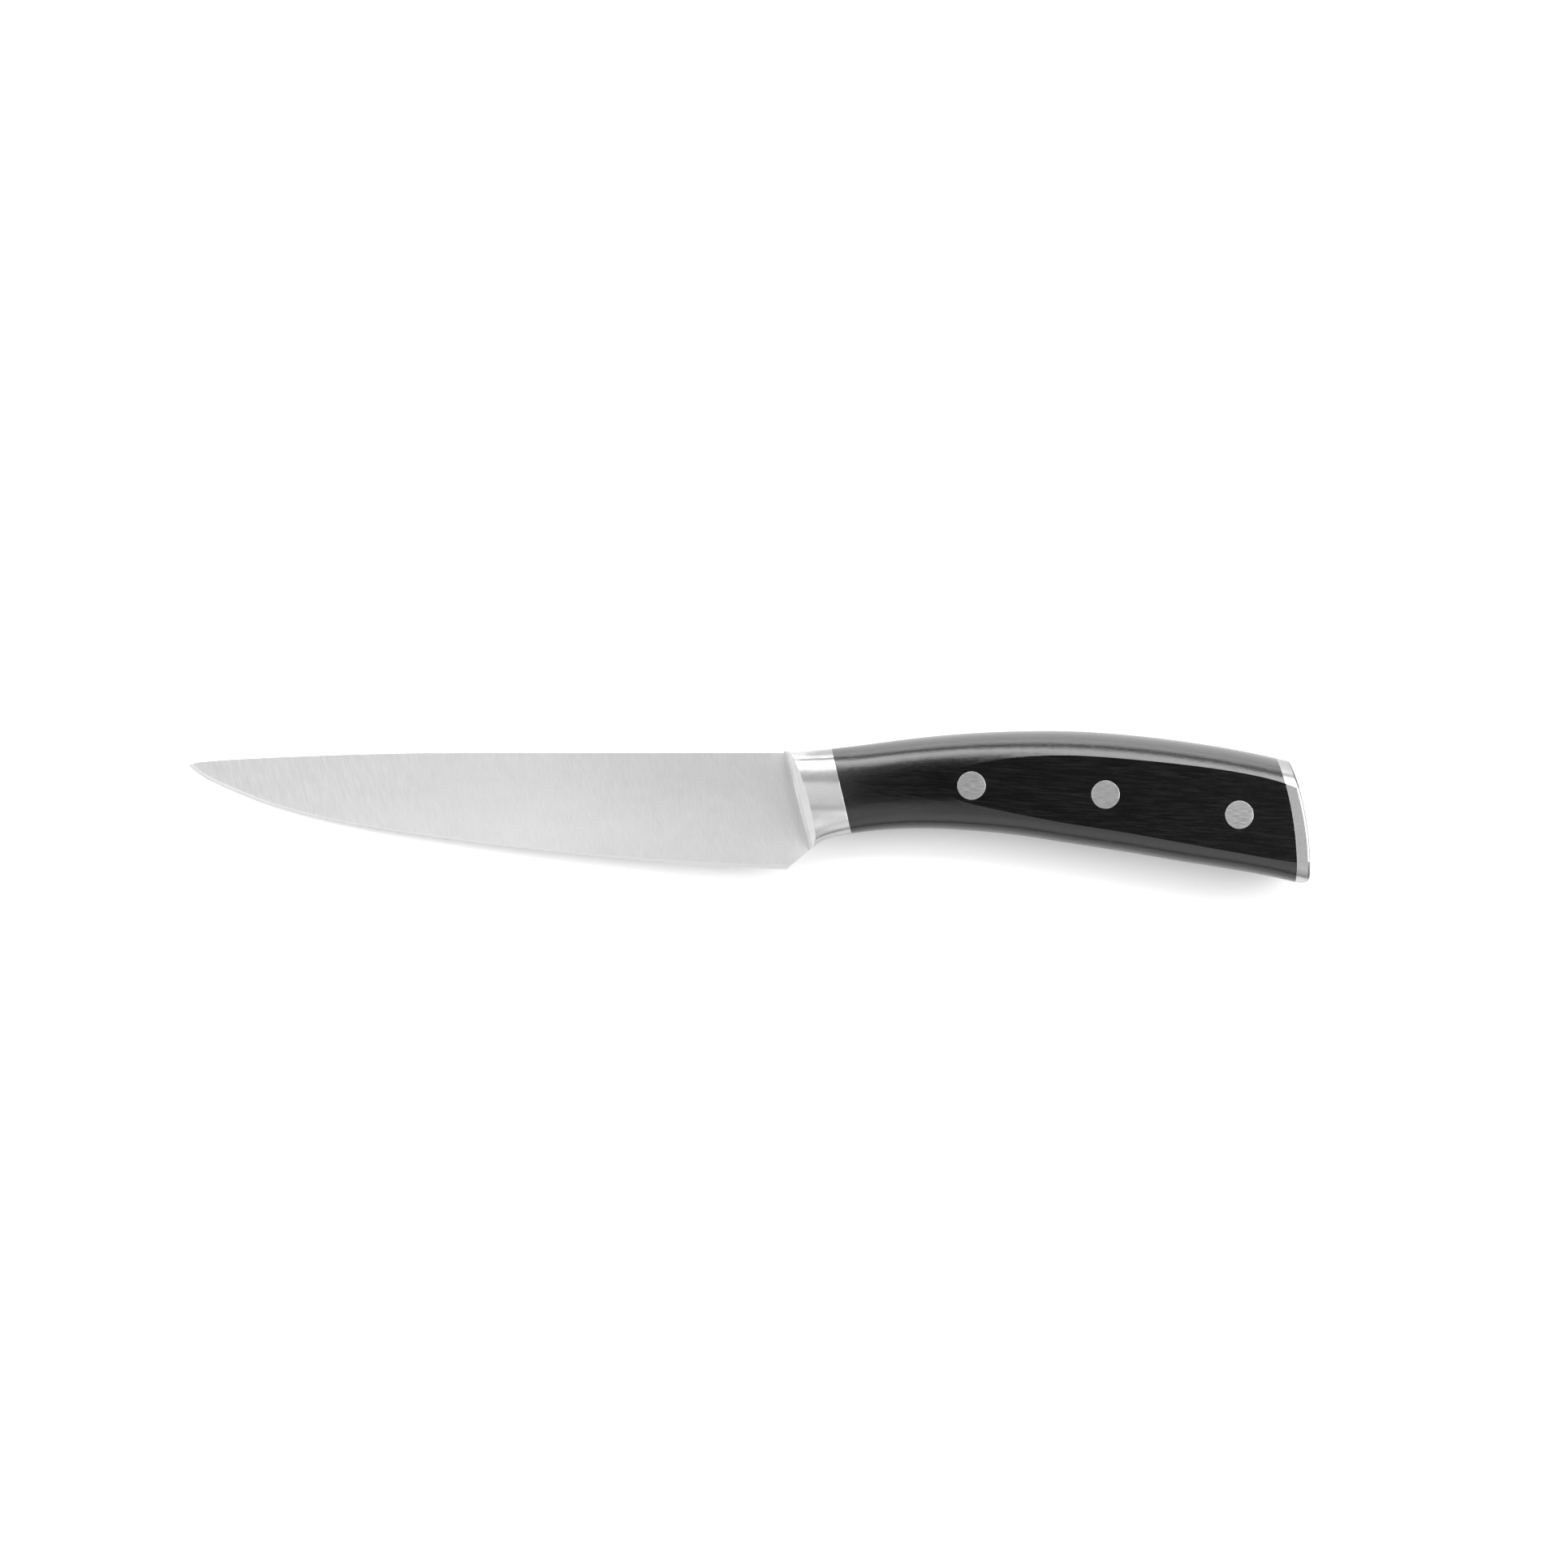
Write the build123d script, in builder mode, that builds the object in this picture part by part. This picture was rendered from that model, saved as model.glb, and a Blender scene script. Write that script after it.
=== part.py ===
from build123d import *
import math
import os

# Slim forged kitchen knife, lying on its side.
# +X runs from the tip to the butt, +Y from the cutting edge to the spine, +Z up through the thickness.
# The origin is the middle of the knife's box, on the surface that it lies on.
# All dimensions are in millimetres.

# ---- overall ----
overall_length = 284.0
blade_length = 151.6            # tip to heel, of the six inch class
handle_thickness = 18.0         # across the ground side flats
mid_z = handle_thickness / 2    # the knife is symmetric about this plane
tip_x = -overall_length / 2
heel_x = tip_x + blade_length

# ---- blade ----
spine_y = 13.95
spine_straight_end_x = -70.0    # forward of this the spine drops in one long arc
nose_start = (-138.6, 11.6)     # where the long arc turns down into the rounded nose
tip_y = 10.7
heel_y = -15.95
spine_thickness = 2.2           # at the bolster
tip_thickness = 0.8
heel_edge_thickness = 0.64      # behind the honed edge, at the heel
edge_points = [                 # cutting edge between tip and heel
    (-140.5, 9.0),
    (-136.6, 6.8),
    (-128.0, 3.05),
    (-112.0, -2.0),
    (-85.0, -7.0),
    (-45.0, -12.0),
    (-10.0, -15.05),
]
honing_angle = 17.0             # degrees each side
honing_height = 0.5             # taller than the blade is behind its edge, so the hone starts clear
honing_clear = 0.05             # takes the last of the square edge away
honing_run_on = 4.0             # how far the hone passes both ends of the edge
honing_steps = 24
heel_round = 0.6
spine_ease = 0.2
heel_cut_end = (15.8, -10.55)   # where the rising heel cut runs into the bolster

# ---- bolster ----
plunge_top_x = 8.9              # front of the bolster at the spine
plunge_lean = 13.7              # degrees from square, the belly end lies further back
plunge_radius = 1.8
plunge_incline = 64.0           # degrees between the blade's face and the bolster's front
bolster_start = 0.1             # the bolster starts this far up the hollow of its plunge
blade_run_in = 1.0              # the blade runs this far into the bolster
bolster_joint_top = (21.05, 15.0)
bolster_joint_belly = (26.1, -6.6)

# ---- handle: x, spine side y, belly side y, half thickness before the flats, fullness ----
handle_stations = [
    (7.0, 13.9, -18.2, 5.1, 2.8),
    (11.0, 13.97, -14.8, 5.15, 2.8),
    (14.6, 14.1, -11.7, 5.25, 2.8),
    (16.6, 14.25, -9.95, 5.45, 2.8),
    (18.6, 14.45, -8.65, 5.75, 2.8),
    (22.4, 14.85, -7.45, 6.35, 2.8),
    (27.0, 15.4, -6.6, 7.0, 2.8),
    (37.0, 16.75, -5.6, 8.1, 2.9),
    (47.0, 17.9, -5.45, 8.85, 3.0),
    (57.0, 18.7, -6.0, 9.2, 3.0),
    (68.0, 19.15, -7.1, 9.5, 3.0),
    (80.0, 19.2, -8.95, 9.73, 3.0),
    (94.0, 18.4, -11.1, 9.82, 3.0),
    (110.0, 16.6, -13.8, 9.95, 3.0),
    (126.0, 13.95, -16.4, 10.05, 3.0),
    (136.0, 11.75, -18.45, 9.9, 3.0),
    (144.0, 9.6, -20.3, 9.2, 3.0),
]
belly_fullness = 0.2            # the belly side of the handle is this much fuller than its spine side

# ---- butt ----
cap_joint = [(133.3, 13.0), (137.55, -3.6), (138.35, -20.0)]    # arc where the scales meet the cap
butt_end = [(136.55, 12.5), (140.95, -3.6), (141.9, -17.0)]     # arc of the cap's outer end
butt_corner = (138.9, -19.3)    # end of its rounded belly corner
butt_round = 0.7
rim_steepness = 0.99            # the rim's edges, unlike the seam inside it, don't run straight up

# ---- tang ----
tang_thickness = 3.0
tenon_length = 1.6              # tongue on the tang that the cap is fixed over
tenon_height = 16.0

# ---- cutlery rivets ----
rivet_centres = {"front": (56.3, 5.8), "middle": (90.1, 3.55), "rear": (123.85, -1.55)}
rivet_head_radius = 3.55
rivet_seat_radius = 3.63        # the head's recess in the scale, a hairline larger
rivet_head_thickness = 1.8
rivet_sleeve_radius = 2.4
rivet_pin_radius = 1.5
rivet_pin_gap = 0.8             # the pin ends this far short of the sleeve's closed end
rivet_sleeve_gap = 0.5          # the sleeve ends this far short of the pin's head

reach = 40.0                    # how far the trimming solids stand past the knife
oval_points = 20                # on each cross section of the handle

os.makedirs("parts", exist_ok=True)


# ---------------------------------------------------------------- handle blank
def signed_power(value, power):
    return math.copysign(abs(value) ** power, value)


def oval_outline(spine_side, belly_side, half_thickness, fullness):
    """Points of a super-ellipse standing across the handle, in its own plane."""
    centre = (spine_side + belly_side) / 2
    half_height = (spine_side - belly_side) / 2
    points = []
    for step in range(oval_points):
        angle = 2 * math.pi * step / oval_points
        on_belly_side = math.cos(angle) < 0
        power = 2 / (fullness + belly_fullness if on_belly_side else fullness)
        across = centre + half_height * signed_power(math.cos(angle), power)
        through = mid_z + half_thickness * signed_power(math.sin(angle), power)
        points.append((across, through))
    return points


# The whole handle, bolster to butt, as one smooth body. Every piece of it is cut from this,
# so that the pieces lie flush, as they do after the real handle is ground.
with BuildPart() as handle_blank:
    for x, spine_side, belly_side, half_thickness, fullness in handle_stations:
        with BuildSketch(Plane.YZ.offset(x)):
            with BuildLine():
                Spline(*oval_outline(spine_side, belly_side, half_thickness, fullness), periodic=True)
            make_face()
    loft()
    with BuildSketch(Plane.XY):
        Rectangle(2 * overall_length, 2 * reach)
    extrude(amount=handle_thickness, mode=Mode.INTERSECT)
    with BuildSketch(Plane.XY):
        with BuildLine():
            end_arc = ThreePointArc(*butt_end)
            corner_arc = TangentArc(end_arc @ 1, butt_corner, tangent=end_arc % 1)
            Polyline(corner_arc @ 1, (0, -reach), (0, reach), (butt_end[0][0], reach), end_arc @ 0)
        make_face()
    extrude(amount=handle_thickness, mode=Mode.INTERSECT)


# ---------------------------------------------------------------- trimming solids
def joint_x(y):
    """The slanted plane where the bolster stops and the scales start."""
    (top_x, top_y), (belly_x, belly_y) = bolster_joint_top, bolster_joint_belly
    return top_x + (belly_x - top_x) * (y - top_y) / (belly_y - top_y)


def plunge_x(y):
    """Front of the bolster on the blade's face."""
    return plunge_top_x + (spine_y - y) * math.tan(math.radians(plunge_lean))


# Everything behind the bolster joint and in front of the cap.
with BuildPart() as scale_zone:
    with BuildSketch(Plane.XY):
        with BuildLine():
            cap_arc = ThreePointArc(*cap_joint)
            Polyline(cap_arc @ 0, (cap_joint[0][0], reach), (joint_x(reach), reach))
            Line((joint_x(reach), reach), (joint_x(-reach), -reach))
            Polyline((joint_x(-reach), -reach), (cap_joint[2][0], -reach), cap_arc @ 1)
        make_face()
    extrude(amount=handle_thickness)

# Everything behind the cap joint.
with BuildPart() as cap_zone:
    with BuildSketch(Plane.XY):
        with BuildLine():
            cap_arc = ThreePointArc(*cap_joint)
            Polyline(
                cap_arc @ 0, (cap_joint[0][0], reach), (overall_length, reach),
                (overall_length, -reach), (cap_joint[2][0], -reach), cap_arc @ 1,
            )
        make_face()
    extrude(amount=handle_thickness)

# The tongue at the end of the tang. Its end follows the cap joint, one tongue length behind it.
with BuildPart() as tenon:
    with BuildSketch(Plane.XY.offset(mid_z - tang_thickness / 2)):
        with BuildLine():
            front_arc = ThreePointArc(*cap_joint)
            back_arc = ThreePointArc(*[(x + tenon_length, y) for x, y in cap_joint])
            Line(front_arc @ 0, back_arc @ 0)
            Line(front_arc @ 1, back_arc @ 1)
        make_face()
        with Locations((cap_joint[1][0], cap_joint[1][1])):
            Rectangle(4 * tenon_length, tenon_height, mode=Mode.INTERSECT)
    extrude(amount=tang_thickness)

# One side of the grind: the flat face of the blade, the concave plunge and the bolster's front.
# Its profile stands past the spine and runs down and back along the plunge line.
face_drop_y = (spine_thickness - heel_edge_thickness) / 2 / (spine_y - heel_y)
face_drop_x = (spine_thickness - tip_thickness) / 2 / blade_length
profile_y = spine_y + reach / 4
profile_x = plunge_x(profile_y)


def face_height(x, y):
    """Half thickness of the blade, measured on its flat face."""
    return spine_thickness / 2 - face_drop_y * (spine_y - y) - face_drop_x * (plunge_x(spine_y) - x)


lean = math.tan(math.radians(plunge_lean))
grind_run = (lean, -1.0, face_height(profile_x + lean, profile_y - 1) - face_height(profile_x, profile_y))
turn = math.radians(plunge_incline)
face_z = face_height(profile_x, profile_y)
arc_end = (
    profile_x + plunge_radius * math.sin(turn),
    face_z + plunge_radius * (1 - math.cos(turn)),
)
front_top = (arc_end[0] + (reach / 2 - arc_end[1]) / math.tan(turn), reach / 2)
front_x = tip_x - reach / 4
grind_length = reach + profile_y
with BuildPart() as upper_grind:
    with BuildSketch(Plane.XZ.offset(-profile_y)):
        with BuildLine():
            face_line = Line((front_x, mid_z + face_height(front_x, profile_y)), (profile_x, mid_z + face_z))
            hollow = TangentArc(face_line @ 1, (arc_end[0], mid_z + arc_end[1]), tangent=face_line % 1)
            Polyline(
                hollow @ 1,
                (front_top[0], mid_z + front_top[1]),
                (front_x, mid_z + front_top[1]),
                face_line @ 0,
            )
        make_face()
    extrude(amount=grind_length, dir=grind_run)
with BuildPart() as lower_grind:
    add(upper_grind.part.mirror(Plane.XY.offset(mid_z)))


# ---------------------------------------------------------------- cutting edge
def edge_line(setback):
    """Points of the cutting edge, moved square to it into the blade, run on past both its ends."""
    edge = Spline((tip_x, tip_y), *edge_points, (heel_x, heel_y), mode=Mode.PRIVATE)
    points = []
    for step in range(honing_steps + 1):
        along = step / honing_steps
        inward = (-(edge % along).Y, (edge % along).X)
        points.append(edge @ along + Vector(*inward) * setback)
    start = points[0] - (edge % 0) * honing_run_on
    finish = points[-1] + (edge % 1) * honing_run_on
    return [start, *points, finish]


honing_setback = honing_height / math.tan(math.radians(honing_angle))

# What honing removes on one side: a strip outside the edge, with a slanted inner wall.
with BuildPart() as upper_hone:
    for height, setback in ((0.0, honing_clear), (honing_height, honing_clear + honing_setback)):
        with BuildSketch(Plane.XY.offset(mid_z + height)):
            with BuildLine():
                inner = Spline(*edge_line(setback))
                outer = Spline(*edge_line(-reach / 8))
                Line(inner @ 0, outer @ 0)
                Line(inner @ 1, outer @ 1)
            make_face()
    loft(ruled=True)
with BuildPart() as lower_hone:
    add(upper_hone.part.mirror(Plane.XY.offset(mid_z)))

# ---------------------------------------------------------------- forged blade, bolster and tang
tang_top = mid_z + tang_thickness / 2
tang_bottom = mid_z - tang_thickness / 2

with BuildPart() as blade:
    with BuildSketch(Plane.XY.offset(tang_bottom)):
        with BuildLine():
            spine = Line((plunge_top_x + blade_run_in, spine_y), (spine_straight_end_x, spine_y))
            spine_drop = TangentArc(spine @ 1, nose_start, tangent=spine % 1)
            TangentArc(spine_drop @ 1, (tip_x, tip_y), tangent=spine_drop % 1)
            edge = Spline((tip_x, tip_y), *edge_points, (heel_x, heel_y))
            Polyline(edge @ 1, heel_cut_end, spine @ 0)
        make_face()
    extrude(amount=tang_thickness)
    add(upper_grind.part, mode=Mode.SUBTRACT)
    add(lower_grind.part, mode=Mode.SUBTRACT)
    spine_edges = blade.edges().filter_by(
        lambda e: e.length > blade_length / 4 and e.center().Y > tip_y
    )
    chamfer(spine_edges, spine_ease)
    heel_edges = blade.edges().filter_by(
        lambda e: (e.center() - Vector(heel_x, heel_y, mid_z)).length < heel_round / 4
    )
    fillet(heel_edges, heel_round)
    add(upper_hone.part, mode=Mode.SUBTRACT)
    add(lower_hone.part, mode=Mode.SUBTRACT)

with BuildPart() as forged_blade:
    # bolster and tang, out of the handle blank
    add(handle_blank.part)
    with BuildSketch(Plane.XY):
        with BuildLine():
            Polyline(
                (plunge_x(reach) + bolster_start, reach), (overall_length, reach),
                (overall_length, -reach), (plunge_x(-reach) + bolster_start, -reach), close=True,
            )
        make_face()
    extrude(amount=handle_thickness, mode=Mode.INTERSECT)
    add(upper_grind.part, mode=Mode.SUBTRACT)
    add(lower_grind.part, mode=Mode.SUBTRACT)
    for pocket_start in (tang_top, tang_bottom - handle_thickness):
        with Locations((0, 0, pocket_start)):
            add(scale_zone.part, mode=Mode.SUBTRACT)
    add(cap_zone.part, mode=Mode.SUBTRACT)
    add(tenon.part)
    with BuildSketch(Plane.XY.offset(tang_bottom)):
        with Locations(*rivet_centres.values()):
            Circle(rivet_sleeve_radius)
    extrude(amount=tang_thickness, mode=Mode.SUBTRACT)
    add(blade.part)
forged_blade.part.label = "forged_blade"

# ---------------------------------------------------------------- handle scales
upper_seats = [Location((x, y, handle_thickness)) for x, y in rivet_centres.values()]
lower_seats = [Location((x, y, 0), (180, 0, 0)) for x, y in rivet_centres.values()]

with BuildPart() as upper_scale:
    add(handle_blank.part)
    with Locations((0, 0, tang_top)):
        add(scale_zone.part, mode=Mode.INTERSECT)
    with Locations(*upper_seats):
        CounterBoreHole(rivet_sleeve_radius, rivet_seat_radius, rivet_head_thickness)
upper_scale.part.label = "upper_scale"

with BuildPart() as lower_scale:
    add(handle_blank.part)
    with Locations((0, 0, tang_bottom - handle_thickness)):
        add(scale_zone.part, mode=Mode.INTERSECT)
    with Locations(*lower_seats):
        CounterBoreHole(rivet_sleeve_radius, rivet_seat_radius, rivet_head_thickness)
lower_scale.part.label = "lower_scale"

# ---------------------------------------------------------------- end cap
with BuildPart() as end_cap:
    add(handle_blank.part)
    add(cap_zone.part, mode=Mode.INTERSECT)
    add(tenon.part, mode=Mode.SUBTRACT)
    butt_faces = end_cap.faces().filter_by(GeomType.CYLINDER).filter_by(
        lambda f: f.center().X > cap_joint[2][0] + tenon_length
    )
    rim_edges = [e for e in butt_faces.edges() if abs((e % 0.5).Z) < rim_steepness]
    fillet(rim_edges, butt_round)
end_cap.part.label = "end_cap"

# ---------------------------------------------------------------- rivets
# Each rivet is a sleeve with a head, seated in the upper scale, and a headed pin driven into it
# from the lower side. Both heads are ground flush with the handle.
rivets = []
for place, (x, y) in rivet_centres.items():
    with BuildPart() as sleeve:
        with BuildSketch(Plane.XY.offset(handle_thickness - rivet_head_thickness)):
            with Locations((x, y)):
                Circle(rivet_head_radius)
        extrude(amount=rivet_head_thickness)
        add(handle_blank.part, mode=Mode.INTERSECT)
        with BuildSketch(Plane.XY.offset(rivet_head_thickness + rivet_sleeve_gap)):
            with Locations((x, y)):
                Circle(rivet_sleeve_radius)
                Circle(rivet_pin_radius, mode=Mode.SUBTRACT)
        extrude(amount=handle_thickness - 2 * rivet_head_thickness - rivet_sleeve_gap)
    sleeve.part.label = f"{place}_rivet_sleeve"
    with BuildPart() as pin:
        with BuildSketch(Plane.XY):
            with Locations((x, y)):
                Circle(rivet_head_radius)
        extrude(amount=rivet_head_thickness)
        add(handle_blank.part, mode=Mode.INTERSECT)
        with BuildSketch(Plane.XY.offset(rivet_head_thickness)):
            with Locations((x, y)):
                Circle(rivet_pin_radius)
        extrude(amount=handle_thickness - 2 * rivet_head_thickness - rivet_pin_gap)
    pin.part.label = f"{place}_rivet_pin"
    rivets += [sleeve.part, pin.part]

# ---------------------------------------------------------------- export
for piece in [forged_blade.part, upper_scale.part, lower_scale.part, end_cap.part, *rivets]:
    export_step(piece, f"parts/{piece.label}.step")
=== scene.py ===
"""Slim forged kitchen knife on a pale studio floor. Everything is in metres, in the CAD frame."""
import math

import bpy
from mathutils import Matrix, Vector


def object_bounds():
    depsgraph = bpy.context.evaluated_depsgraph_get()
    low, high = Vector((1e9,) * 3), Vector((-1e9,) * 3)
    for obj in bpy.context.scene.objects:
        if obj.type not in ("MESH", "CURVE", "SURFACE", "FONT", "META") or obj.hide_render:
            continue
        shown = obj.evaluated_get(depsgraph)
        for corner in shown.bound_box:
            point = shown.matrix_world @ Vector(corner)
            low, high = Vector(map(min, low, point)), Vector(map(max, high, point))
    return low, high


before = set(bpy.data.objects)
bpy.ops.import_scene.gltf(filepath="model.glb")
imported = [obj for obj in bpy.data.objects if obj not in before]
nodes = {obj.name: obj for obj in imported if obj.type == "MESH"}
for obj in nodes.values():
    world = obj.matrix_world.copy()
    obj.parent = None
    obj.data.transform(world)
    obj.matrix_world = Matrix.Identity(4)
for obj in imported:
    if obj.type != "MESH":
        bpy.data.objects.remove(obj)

MM = 0.001
WHITE = (1.0, 1.0, 1.0, 1.0)
cad_low, cad_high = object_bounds()


# ------------------------------------------------------------------ node helpers
class Shade:
    """Short names for building one material's node tree."""

    def __init__(self, name):
        self.material = bpy.data.materials.new(name)
        self.material.use_nodes = True
        self.tree = self.material.node_tree
        self.shader = self.tree.nodes["Principled BSDF"]

    def node(self, kind, **settings):
        made = self.tree.nodes.new(kind)
        for key, value in settings.items():
            setattr(made, key, value)
        return made

    def feed(self, socket, value):
        """A link if value is another node's socket, otherwise a plain value."""
        if isinstance(value, bpy.types.NodeSocket):
            self.tree.links.new(value, socket)
        else:
            socket.default_value = value

    def set(self, **values):
        """Values for the shader's own sockets, with an underscore for each space in a socket's name."""
        for key, value in values.items():
            self.feed(self.shader.inputs[key.replace("_", " ")], value)

    # Where a point is, and which way the surface faces there
    def millimetres(self):
        """The point being shaded, in millimetres in the CAD frame."""
        place = self.node("ShaderNodeTexCoord")
        scaled = self.node("ShaderNodeVectorMath", operation="SCALE")
        self.feed(scaled.inputs[0], place.outputs["Object"])
        scaled.inputs["Scale"].default_value = 1 / MM
        return scaled.outputs["Vector"]

    def axes(self, vector):
        split = self.node("ShaderNodeSeparateXYZ")
        self.feed(split.inputs[0], vector)
        return split.outputs["X"], split.outputs["Y"], split.outputs["Z"]

    def normal(self):
        """How far the surface faces the butt, the spine, and either of the knife's sides."""
        x, y, z = self.axes(self.node("ShaderNodeNewGeometry").outputs["True Normal"])
        return x, y, self.math("ABSOLUTE", z)

    def rounded(self, radius):
        """The normal as if every sharp edge were broken to radius millimetres."""
        made = self.node("ShaderNodeBevel", samples=4)
        made.inputs["Radius"].default_value = radius * MM
        return made.outputs[0]

    def tangent(self, degrees):
        """A direction in the plane of the knife, degrees from X, that brushed highlights spread along."""
        made = self.node("ShaderNodeCombineXYZ")
        made.inputs[0].default_value = math.cos(math.radians(degrees))
        made.inputs[1].default_value = math.sin(math.radians(degrees))
        return made.outputs[0]

    # Arithmetic
    def math(self, operation, *values):
        made = self.node("ShaderNodeMath", operation=operation)
        for socket, value in zip(made.inputs, values):
            self.feed(socket, value)
        return made.outputs[0]

    def times(self, a, b):
        return self.math("MULTIPLY", a, b)

    def total(self, start, *parts):
        """start plus each part, given as (value, weight)."""
        for value, weight in parts:
            start = self.math("MULTIPLY_ADD", value, weight, start)
        return start

    def rest(self, mask):
        """All that mask leaves out."""
        return self.math("SUBTRACT", 1.0, mask)

    def ramp(self, value, low, high, to_low=0.0, to_high=1.0, smooth=True):
        """value between low and high, stretched to run from to_low to to_high."""
        made = self.node("ShaderNodeMapRange")
        made.interpolation_type = "SMOOTHSTEP" if smooth else "LINEAR"
        for socket, number in zip(made.inputs[:5], (value, low, high, to_low, to_high)):
            self.feed(socket, number)
        return made.outputs[0]

    def curve(self, value, points):
        """A curve through points, each (value, result), with results from 0 to 1."""
        low, high = points[0][0], points[-1][0]
        made = self.node("ShaderNodeFloatCurve")
        self.feed(made.inputs["Value"], self.ramp(value, low, high, smooth=False))
        line = made.mapping.curves[0].points
        for _ in points[2:]:
            line.new(0.5, 0.5)
        for spot, (at, result) in zip(line, points):
            spot.location = ((at - low) / (high - low), result)
        made.mapping.update()
        return made.outputs[0]

    def blend(self, factor, a, b):
        """a where factor is 0, b where it is 1."""
        made = self.node("ShaderNodeMix", data_type="FLOAT")
        self.feed(made.inputs[0], factor)
        self.feed(made.inputs[2], a)
        self.feed(made.inputs[3], b)
        return made.outputs[0]

    def grey(self, value):
        made = self.node("ShaderNodeCombineColor")
        for socket in made.inputs:
            self.feed(socket, value)
        return made.outputs[0]

    # Texture
    def noise(self, vector, stretch, turn=0.0, detail=3.0, roughness=0.5, shift=0.0):
        """Noise with features of about stretch millimetres along each axis, turned turn degrees about Z."""
        placed = self.node("ShaderNodeMapping", vector_type="TEXTURE")
        self.feed(placed.inputs["Vector"], vector)
        placed.inputs["Location"].default_value = (shift, 0, 0)
        placed.inputs["Rotation"].default_value = (0, 0, math.radians(turn))
        placed.inputs["Scale"].default_value = stretch
        made = self.node("ShaderNodeTexNoise")
        self.feed(made.inputs["Vector"], placed.outputs[0])
        made.inputs["Scale"].default_value = 1.0
        made.inputs["Detail"].default_value = detail
        made.inputs["Roughness"].default_value = roughness
        return made.outputs["Fac"]

    def bump(self, height, depth, normal=None):
        """Bump whose height of 1 stands depth millimetres proud."""
        made = self.node("ShaderNodeBump")
        made.inputs["Strength"].default_value = 1.0
        made.inputs["Distance"].default_value = depth * MM
        self.feed(made.inputs["Height"], height)
        if normal is not None:
            self.feed(made.inputs["Normal"], normal)
        return made.outputs[0]


# ------------------------------------------------------------------ materials
# Places are in millimetres in the CAD frame. A surface's direction is given by the parts of its unit
# normal: lean towards the butt, up towards the spine, and facing towards either of the knife's sides.
PLUNGE_TOP_X = 8.9              # the bolster's front on the spine
SPINE_Y = 13.95
PLUNGE_LEAN = math.tan(math.radians(13.7))
GRIND_TURN = 12.0               # the grind lines lean this far from square
BROKEN_EDGE = 0.15              # sharp steel edges catch the light as if broken to this radius

# A mask is 0 at the first number and 1 at the second.
# NEAR_PLUNGE places painted light, TOWARDS_HEEL and TOWARDS_TIP painted shade, INCLINED a painted
# reflection.
BEFORE_PLUNGE = (0.4, -0.2)     # these three by the distance behind the plunge
BEHIND_PLUNGE = (0.4, 0.9)
NEAR_PLUNGE = (-6.0, -0.3)
TOWARDS_HEEL = (-66.0, 4.0)     # these two by x
TOWARDS_TIP = (-62.0, -105.0)
TOWARDS_BELLY = (13.0, -12.0)   # these two by y
BOLSTER_SPINE = (11.0, 12.5)
INCLINED = (-0.3, -0.6)         # these four by lean
HOLLOWED = (-0.03, -0.15)
INTO_FILLET = (-0.38, -0.50)
OUT_OF_FILLET = (-0.86, -0.74)
HONED = (0.985, 0.975)          # these two by facing
GROUND_FLAT = (0.985, 0.9995)

# Painted reflection: how bright the bolster's bands are at each height, as (millimetres towards the
# spine, tone).
BOLSTER_REFLECTION_BANDS = ((-9.0, 0.68), (-6.2, 0.72), (-4.9, 0.84), (-2.5, 0.88), (-1.2, 0.99), (0.0, 0.78),
                  (1.2, 0.95), (3.3, 1.0), (4.9, 1.0), (6.2, 0.86), (7.4, 0.51), (8.6, 0.50),
                  (10.0, 0.64), (12.0, 0.75))
BOLSTER_SPINE_TONE = 0.75
DARKEST = 0.0003                # the handle's tone never falls below this
HANDLE_IOR = 1.8                # fitted to the photo's angle alone: acetal's own is about 1.48


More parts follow.
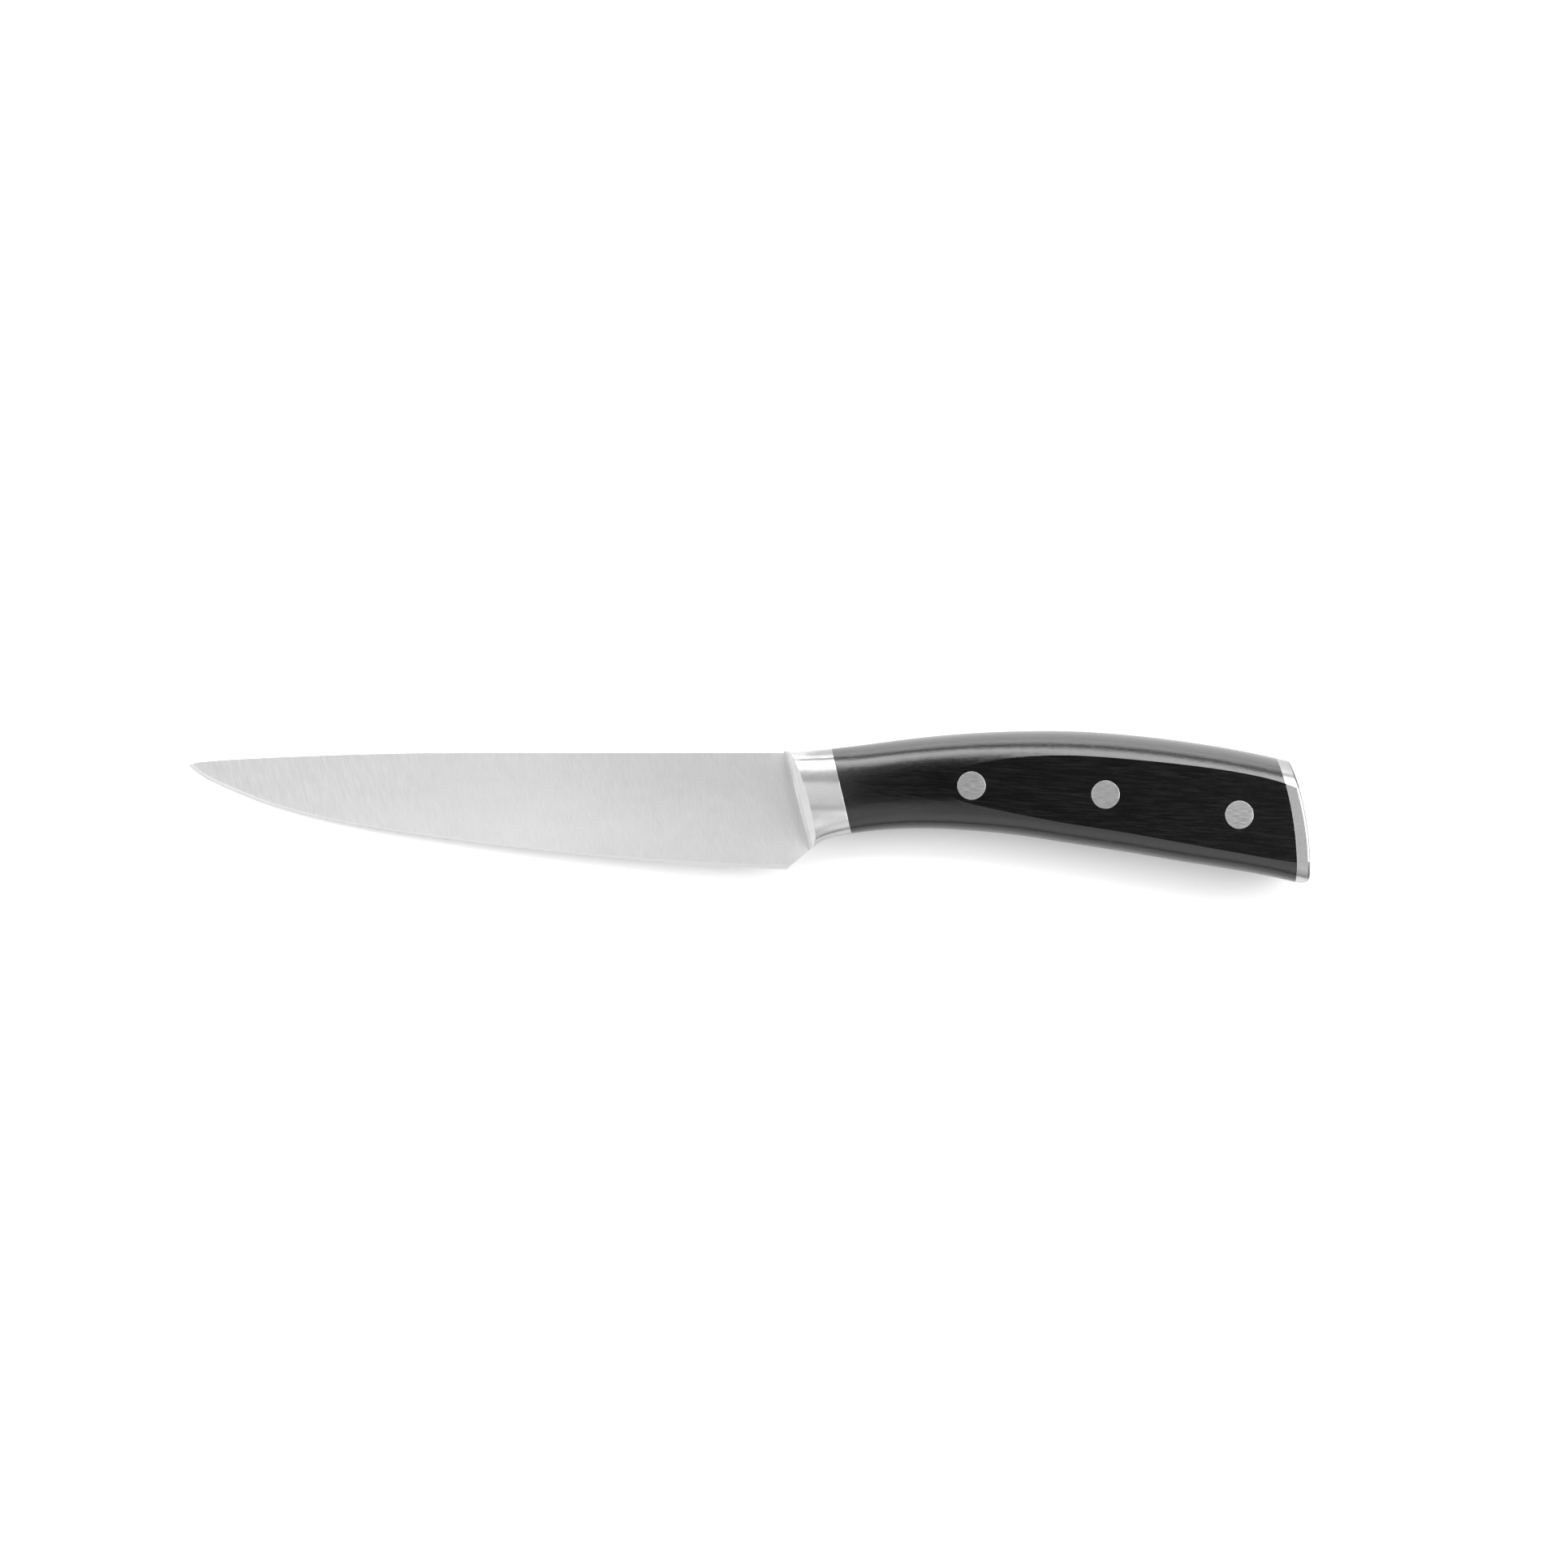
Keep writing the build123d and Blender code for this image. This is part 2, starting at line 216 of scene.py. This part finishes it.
def blade_steel():
    """The forging: ground blade, honed edge, inclined front of the bolster, satin bolster and tang."""
    s = Shade("blade_steel")
    here = s.millimetres()
    x, y, _ = s.axes(here)
    lean, up, facing = s.normal()
    eased = s.rounded(BROKEN_EDGE)
    eased_lean, eased_up, _ = s.axes(eased)

    # Where each part of the forging is
    past_spine_end = s.math("SUBTRACT", x, PLUNGE_TOP_X)
    below_spine = s.math("SUBTRACT", y, SPINE_Y)
    behind_plunge = s.total(past_spine_end, (below_spine, PLUNGE_LEAN))
    incline = s.ramp(lean, *INCLINED)
    off_incline = s.rest(incline)
    bolster = s.times(s.ramp(behind_plunge, *BEHIND_PLUNGE), off_incline)
    near_plunge = s.times(s.ramp(behind_plunge, *NEAR_PLUNGE), off_incline)
    honed = s.times(s.ramp(facing, *HONED), s.ramp(behind_plunge, *BEFORE_PLUNGE))
    hollow = s.times(s.ramp(eased_lean, *HOLLOWED), off_incline)
    fillet = s.times(s.ramp(eased_lean, *INTO_FILLET), s.ramp(eased_lean, *OUT_OF_FILLET))
    towards_heel = s.ramp(x, *TOWARDS_HEEL)
    towards_tip = s.ramp(x, *TOWARDS_TIP)
    towards_belly = s.ramp(y, *TOWARDS_BELLY)

    # Grind lines, satin and unevenness
    fine = s.noise(here, (0.24, 2.6, 3.0), GRIND_TURN, roughness=0.6)
    medium = s.noise(here, (0.8, 5.0, 6.0), GRIND_TURN, detail=2.0, shift=7.3)
    lines = s.total(0.0, (fine, 0.8), (medium, 0.2))
    ripple = s.noise(here, (0.7, 5.0, 5.0), GRIND_TURN + 3.0, detail=0.0, shift=13.0)
    cloud = s.noise(here, (24.0, 5.0, 20.0), 4.0, shift=31.0)
    satin = s.noise(here, (0.26, 0.26, 0.26), detail=1.0)
    wander = s.noise(here, (3.0, 0.9, 3.0), 8.0, detail=2.0, shift=5.0)
    ragged = s.noise(here, (0.5, 0.25, 0.5), -8.0, detail=2.0, roughness=0.6, shift=17.0)

    # Tone, with painted light and shade. The blade is painted darker towards the heel and the tip, to copy
    # how light falls along it, and painted lighter just before the plunge, where the bolster's shade falls;
    # it is also lighter towards the belly. The bolster's inclined front is painted lighter, a painted
    # reflection, and the bolster itself carries painted bands of reflection. Edges, hollow and fillet are
    # painted shade, darker here than the steel would be, because the lights alone leave them too bright
    # from above.
    tip_ripple = s.times(ripple, towards_tip)
    ground = s.total(0.56, (lines, 0.18), (cloud, 0.05), (tip_ripple, 0.08), (towards_tip, -0.03),
                     (towards_belly, 0.08), (towards_heel, -0.13), (near_plunge, 0.07), (incline, 0.16))
    # Painted reflection: bands along the bolster by height, with satin speckle on them.
    painted_bands = s.curve(s.total(s.math("SUBTRACT", y, 0.25), (wander, 0.5)), BOLSTER_REFLECTION_BANDS)
    speckled_bands = s.total(-0.09, (painted_bands, 1.0), (satin, 0.18))
    painted_bolster = s.blend(s.ramp(y, *BOLSTER_SPINE), speckled_bands, BOLSTER_SPINE_TONE)
    # Painted shade: the blade's edges, the bolster's top and bottom, the hollow and the fillet are
    # darkened.
    blade_edge_shade = s.ramp(eased_up, 0.08, 0.40, 0.0, 0.80)
    bolster_edge_shade = s.total(0.0, (s.ramp(up, 0.45, 0.75), 0.3), (s.ramp(up, -0.45, -0.75), 0.5))
    painted_shade = s.total(s.blend(bolster, blade_edge_shade, bolster_edge_shade), (hollow, 0.26), (fillet, 0.22))
    tone = s.times(s.blend(bolster, ground, painted_bolster), s.rest(painted_shade))
    # The honed band is painted brighter than steel, a painted highlight, with ragged noise for its uneven
    # honing.
    s.set(Base_Color=s.grey(s.blend(honed, tone, s.total(0.74, (ragged, 0.6)))), Metallic=1.0)

    # Gloss
    blade_gloss = s.total(0.35, (lines, 0.10), (hollow, 0.12), (fillet, 0.15))
    rough = s.blend(bolster, blade_gloss, s.total(0.27, (satin, 0.12)))
    s.set(Roughness=s.blend(honed, rough, 0.34), Anisotropic=0.8, Tangent=s.tangent(GRIND_TURN))
    height = s.blend(bolster, s.times(lines, 0.4), s.times(satin, 0.5))
    s.set(Normal=s.bump(height, 0.020, eased))
    return s.material


def brushed_steel(name, average, rough, contrast, stretch, turn, spread):
    """Steel brushed turn degrees from X, whose highlights spread along spread degrees from X."""
    s = Shade(name)
    here = s.millimetres()
    lean, up, _ = s.normal()
    lines = s.noise(here, stretch, turn, roughness=0.6)
    cloud = s.noise(here, (3.0, 3.0, 3.0), detail=2.0, shift=11.0)
    tone = s.total(average - contrast / 2 - 0.04, (lines, contrast), (cloud, 0.08))
    # Painted shade: the rims facing the spine and the belly, and the butt's round and end, are darkened;
    # the butt's roughness rises with the same mask.
    rims = s.times(s.ramp(up, 0.10, 0.30, 1.0, 0.64), s.ramp(up, -0.25, -0.55, 1.0, 0.58))
    butt_shade = s.total(0.0, (s.ramp(lean, 0.10, 0.35), 0.62), (s.ramp(lean, 0.86, 0.97), -0.24))
    s.set(Base_Color=s.grey(s.times(tone, s.times(rims, s.rest(butt_shade)))), Metallic=1.0)
    s.set(Roughness=s.total(rough - 0.09, (lines, 0.18), (butt_shade, 0.2)))
    s.set(Anisotropic=0.4, Tangent=s.tangent(spread))
    s.set(Normal=s.bump(lines, 0.006, s.rounded(BROKEN_EDGE)))
    return s.material


def black_acetal():
    """The handle's plastic: brushed on its ground flats, finely grained on its rounded rims."""
    s = Shade("black_acetal")
    here = s.millimetres()
    _, up, facing = s.normal()
    flat = s.ramp(facing, *GROUND_FLAT)
    brushing = s.noise(here, (5.0, 0.28, 4.0), -4.0, roughness=0.6)
    scuff = s.noise(here, (14.0, 1.4, 9.0), -6.0, shift=19.0)
    grain = s.noise(here, (0.22, 0.22, 0.22), detail=1.0, shift=3.0)
    brushed_tone = s.total(-0.015, (brushing, 0.024), (scuff, 0.008))
    tone = s.blend(flat, s.total(-0.011, (grain, 0.036)), brushed_tone)
    s.set(Base_Color=s.grey(s.math("MAXIMUM", tone, DARKEST)))
    s.set(Roughness=s.blend(flat, s.total(0.17, (grain, 0.08)), s.total(0.15, (brushing, 0.10))))
    s.set(Normal=s.bump(s.blend(flat, s.times(grain, 1.5), brushing), 0.018))
    # Painted reflection: seen from above, the rim by the spine is given a higher specular level, so it
    # mirrors more, and the rim by the belly a lower one.
    painted_rim_reflection = s.total(0.5, (s.ramp(up, 0.60, 0.80), 0.316), (s.ramp(up, -0.5, -0.8), -0.315))
    s.set(IOR=HANDLE_IOR, Specular_IOR_Level=painted_rim_reflection)
    return s.material


blade = blade_steel()
scale = black_acetal()
cap = brushed_steel("cap_steel", 0.75, 0.30, 0.24, (0.26, 0.30, 0.30), -12.0, -12.0)
rivet = brushed_steel("rivet_steel", 0.82, 0.32, 0.50, (2.0, 0.20, 2.0), 0.0, 90.0)
BIG_PIECES = {"forged_blade": blade, "upper_scale": scale, "lower_scale": scale, "end_cap": cap}
for name, node in nodes.items():
    node.data.materials.clear()
    node.data.materials.append(BIG_PIECES.get(name, rivet))


# ------------------------------------------------------------------ floor and light
FLOOR_SIZE = 24.0
FLOOR_GAP = 0.02 * MM
FLOOR_TONE = 0.92
TIP_LENGTH = 1.0 * MM           # the tip's lowest point is looked for this far back
LIGHT_DISTANCE = 1.5            # every softbox faces the knife's middle from this far
AMBIENT = 0.03


def floor():
    """The knife rests on its tip and the front of its handle, so in its own frame the floor slopes.

    Only the last TIP_LENGTH counts as the tip. The blade is thicker just behind it, and dips 0.15 mm
    into the floor there.
    """
    points = [v.co for node in nodes.values() for v in node.data.vertices]
    tip = min((p for p in points if p.x < cad_low.x + TIP_LENGTH), key=lambda p: p.z)
    slope = max((tip.z - p.z) / (p.x - tip.x) for p in points if p.x > 0)
    middle = (0, 0, tip.z + slope * tip.x - FLOOR_GAP)
    tilt = (0, math.atan(slope), 0)
    bpy.ops.mesh.primitive_plane_add(size=FLOOR_SIZE, location=middle, rotation=tilt)
    made = bpy.context.object
    made.name = "studio_floor"
    s = Shade("pale_floor")
    s.set(Base_Color=(FLOOR_TONE, FLOOR_TONE, FLOOR_TONE, 1.0), Roughness=0.9, Specular_IOR_Level=0.1)
    made.data.materials.append(s.material)


def softbox(name, azimuth, high, low, half_width, radiance):
    """A softbox seen from the knife between high and low degrees off the vertical, towards azimuth."""
    middle, turn = math.radians((high + low) / 2), math.radians(azimuth)
    level = Vector((math.cos(turn), math.sin(turn), 0.0))
    out = math.sin(middle) * level + math.cos(middle) * Vector((0.0, 0.0, 1.0))
    along = Vector((-math.sin(turn), math.cos(turn), 0.0))
    light = bpy.data.lights.new(name, "AREA")
    light.shape = "RECTANGLE"
    light.size = 2 * LIGHT_DISTANCE * math.tan(math.radians(half_width))
    light.size_y = 2 * LIGHT_DISTANCE * math.tan(math.radians((low - high) / 2))
    light.energy = math.pi * light.size * light.size_y * radiance
    made = bpy.data.objects.new(name, light)
    bpy.context.scene.collection.objects.link(made)
    made.matrix_world = Matrix((along, out.cross(along), out)).transposed().to_4x4()
    made.location = LIGHT_DISTANCE * out


floor()
# name, azimuth, high, low, half width, radiance
softbox("spine_key", 90, 30, 50, 40, 5.2)
softbox("spine_left", 150, 30, 64, 20, 2.0)
softbox("spine_right", 30, 30, 64, 20, 2.0)
softbox("spine_low", 90, 66, 88, 30, 3.0)
softbox("belly_fill", 270, 14, 44, 30, 0.45)
softbox("belly_low", 270, 44, 80, 30, 0.8)
softbox("butt_low", 0, 46, 80, 20, 5.7)
softbox("butt_fill", 0, 20, 40, 20, 2.2)
softbox("tip_low", 180, 60, 80, 20, 7.0)
softbox("tip_fill", 190, 20, 40, 36, 1.0)

world = bpy.data.worlds.new("studio")
bpy.context.scene.world = world
world.use_nodes = True
background = world.node_tree.nodes["Background"]
background.inputs["Color"].default_value = WHITE
background.inputs["Strength"].default_value = AMBIENT


# ------------------------------------------------------------------ camera
VIEW_WIDTH = 0.3974             # what the picture takes in, across the knife's middle plane
VIEW_CENTRE = Vector((9.05, 5.76, 9.0)) * MM
CAMERA_DISTANCE = 1.6
CAMERA_TILT = math.radians(3.0)
SENSOR = 36.0

camera_data = bpy.data.cameras.new("camera")
camera_data.sensor_width = SENSOR
camera_data.lens = SENSOR * CAMERA_DISTANCE / VIEW_WIDTH
camera = bpy.data.objects.new("camera", camera_data)
bpy.context.scene.collection.objects.link(camera)
to_camera = Vector((0, math.sin(CAMERA_TILT), math.cos(CAMERA_TILT)))
camera.location = VIEW_CENTRE + CAMERA_DISTANCE * to_camera
camera.rotation_euler = (-CAMERA_TILT, 0, 0)
bpy.context.scene.camera = camera
bpy.context.scene.view_settings.view_transform = "Standard"
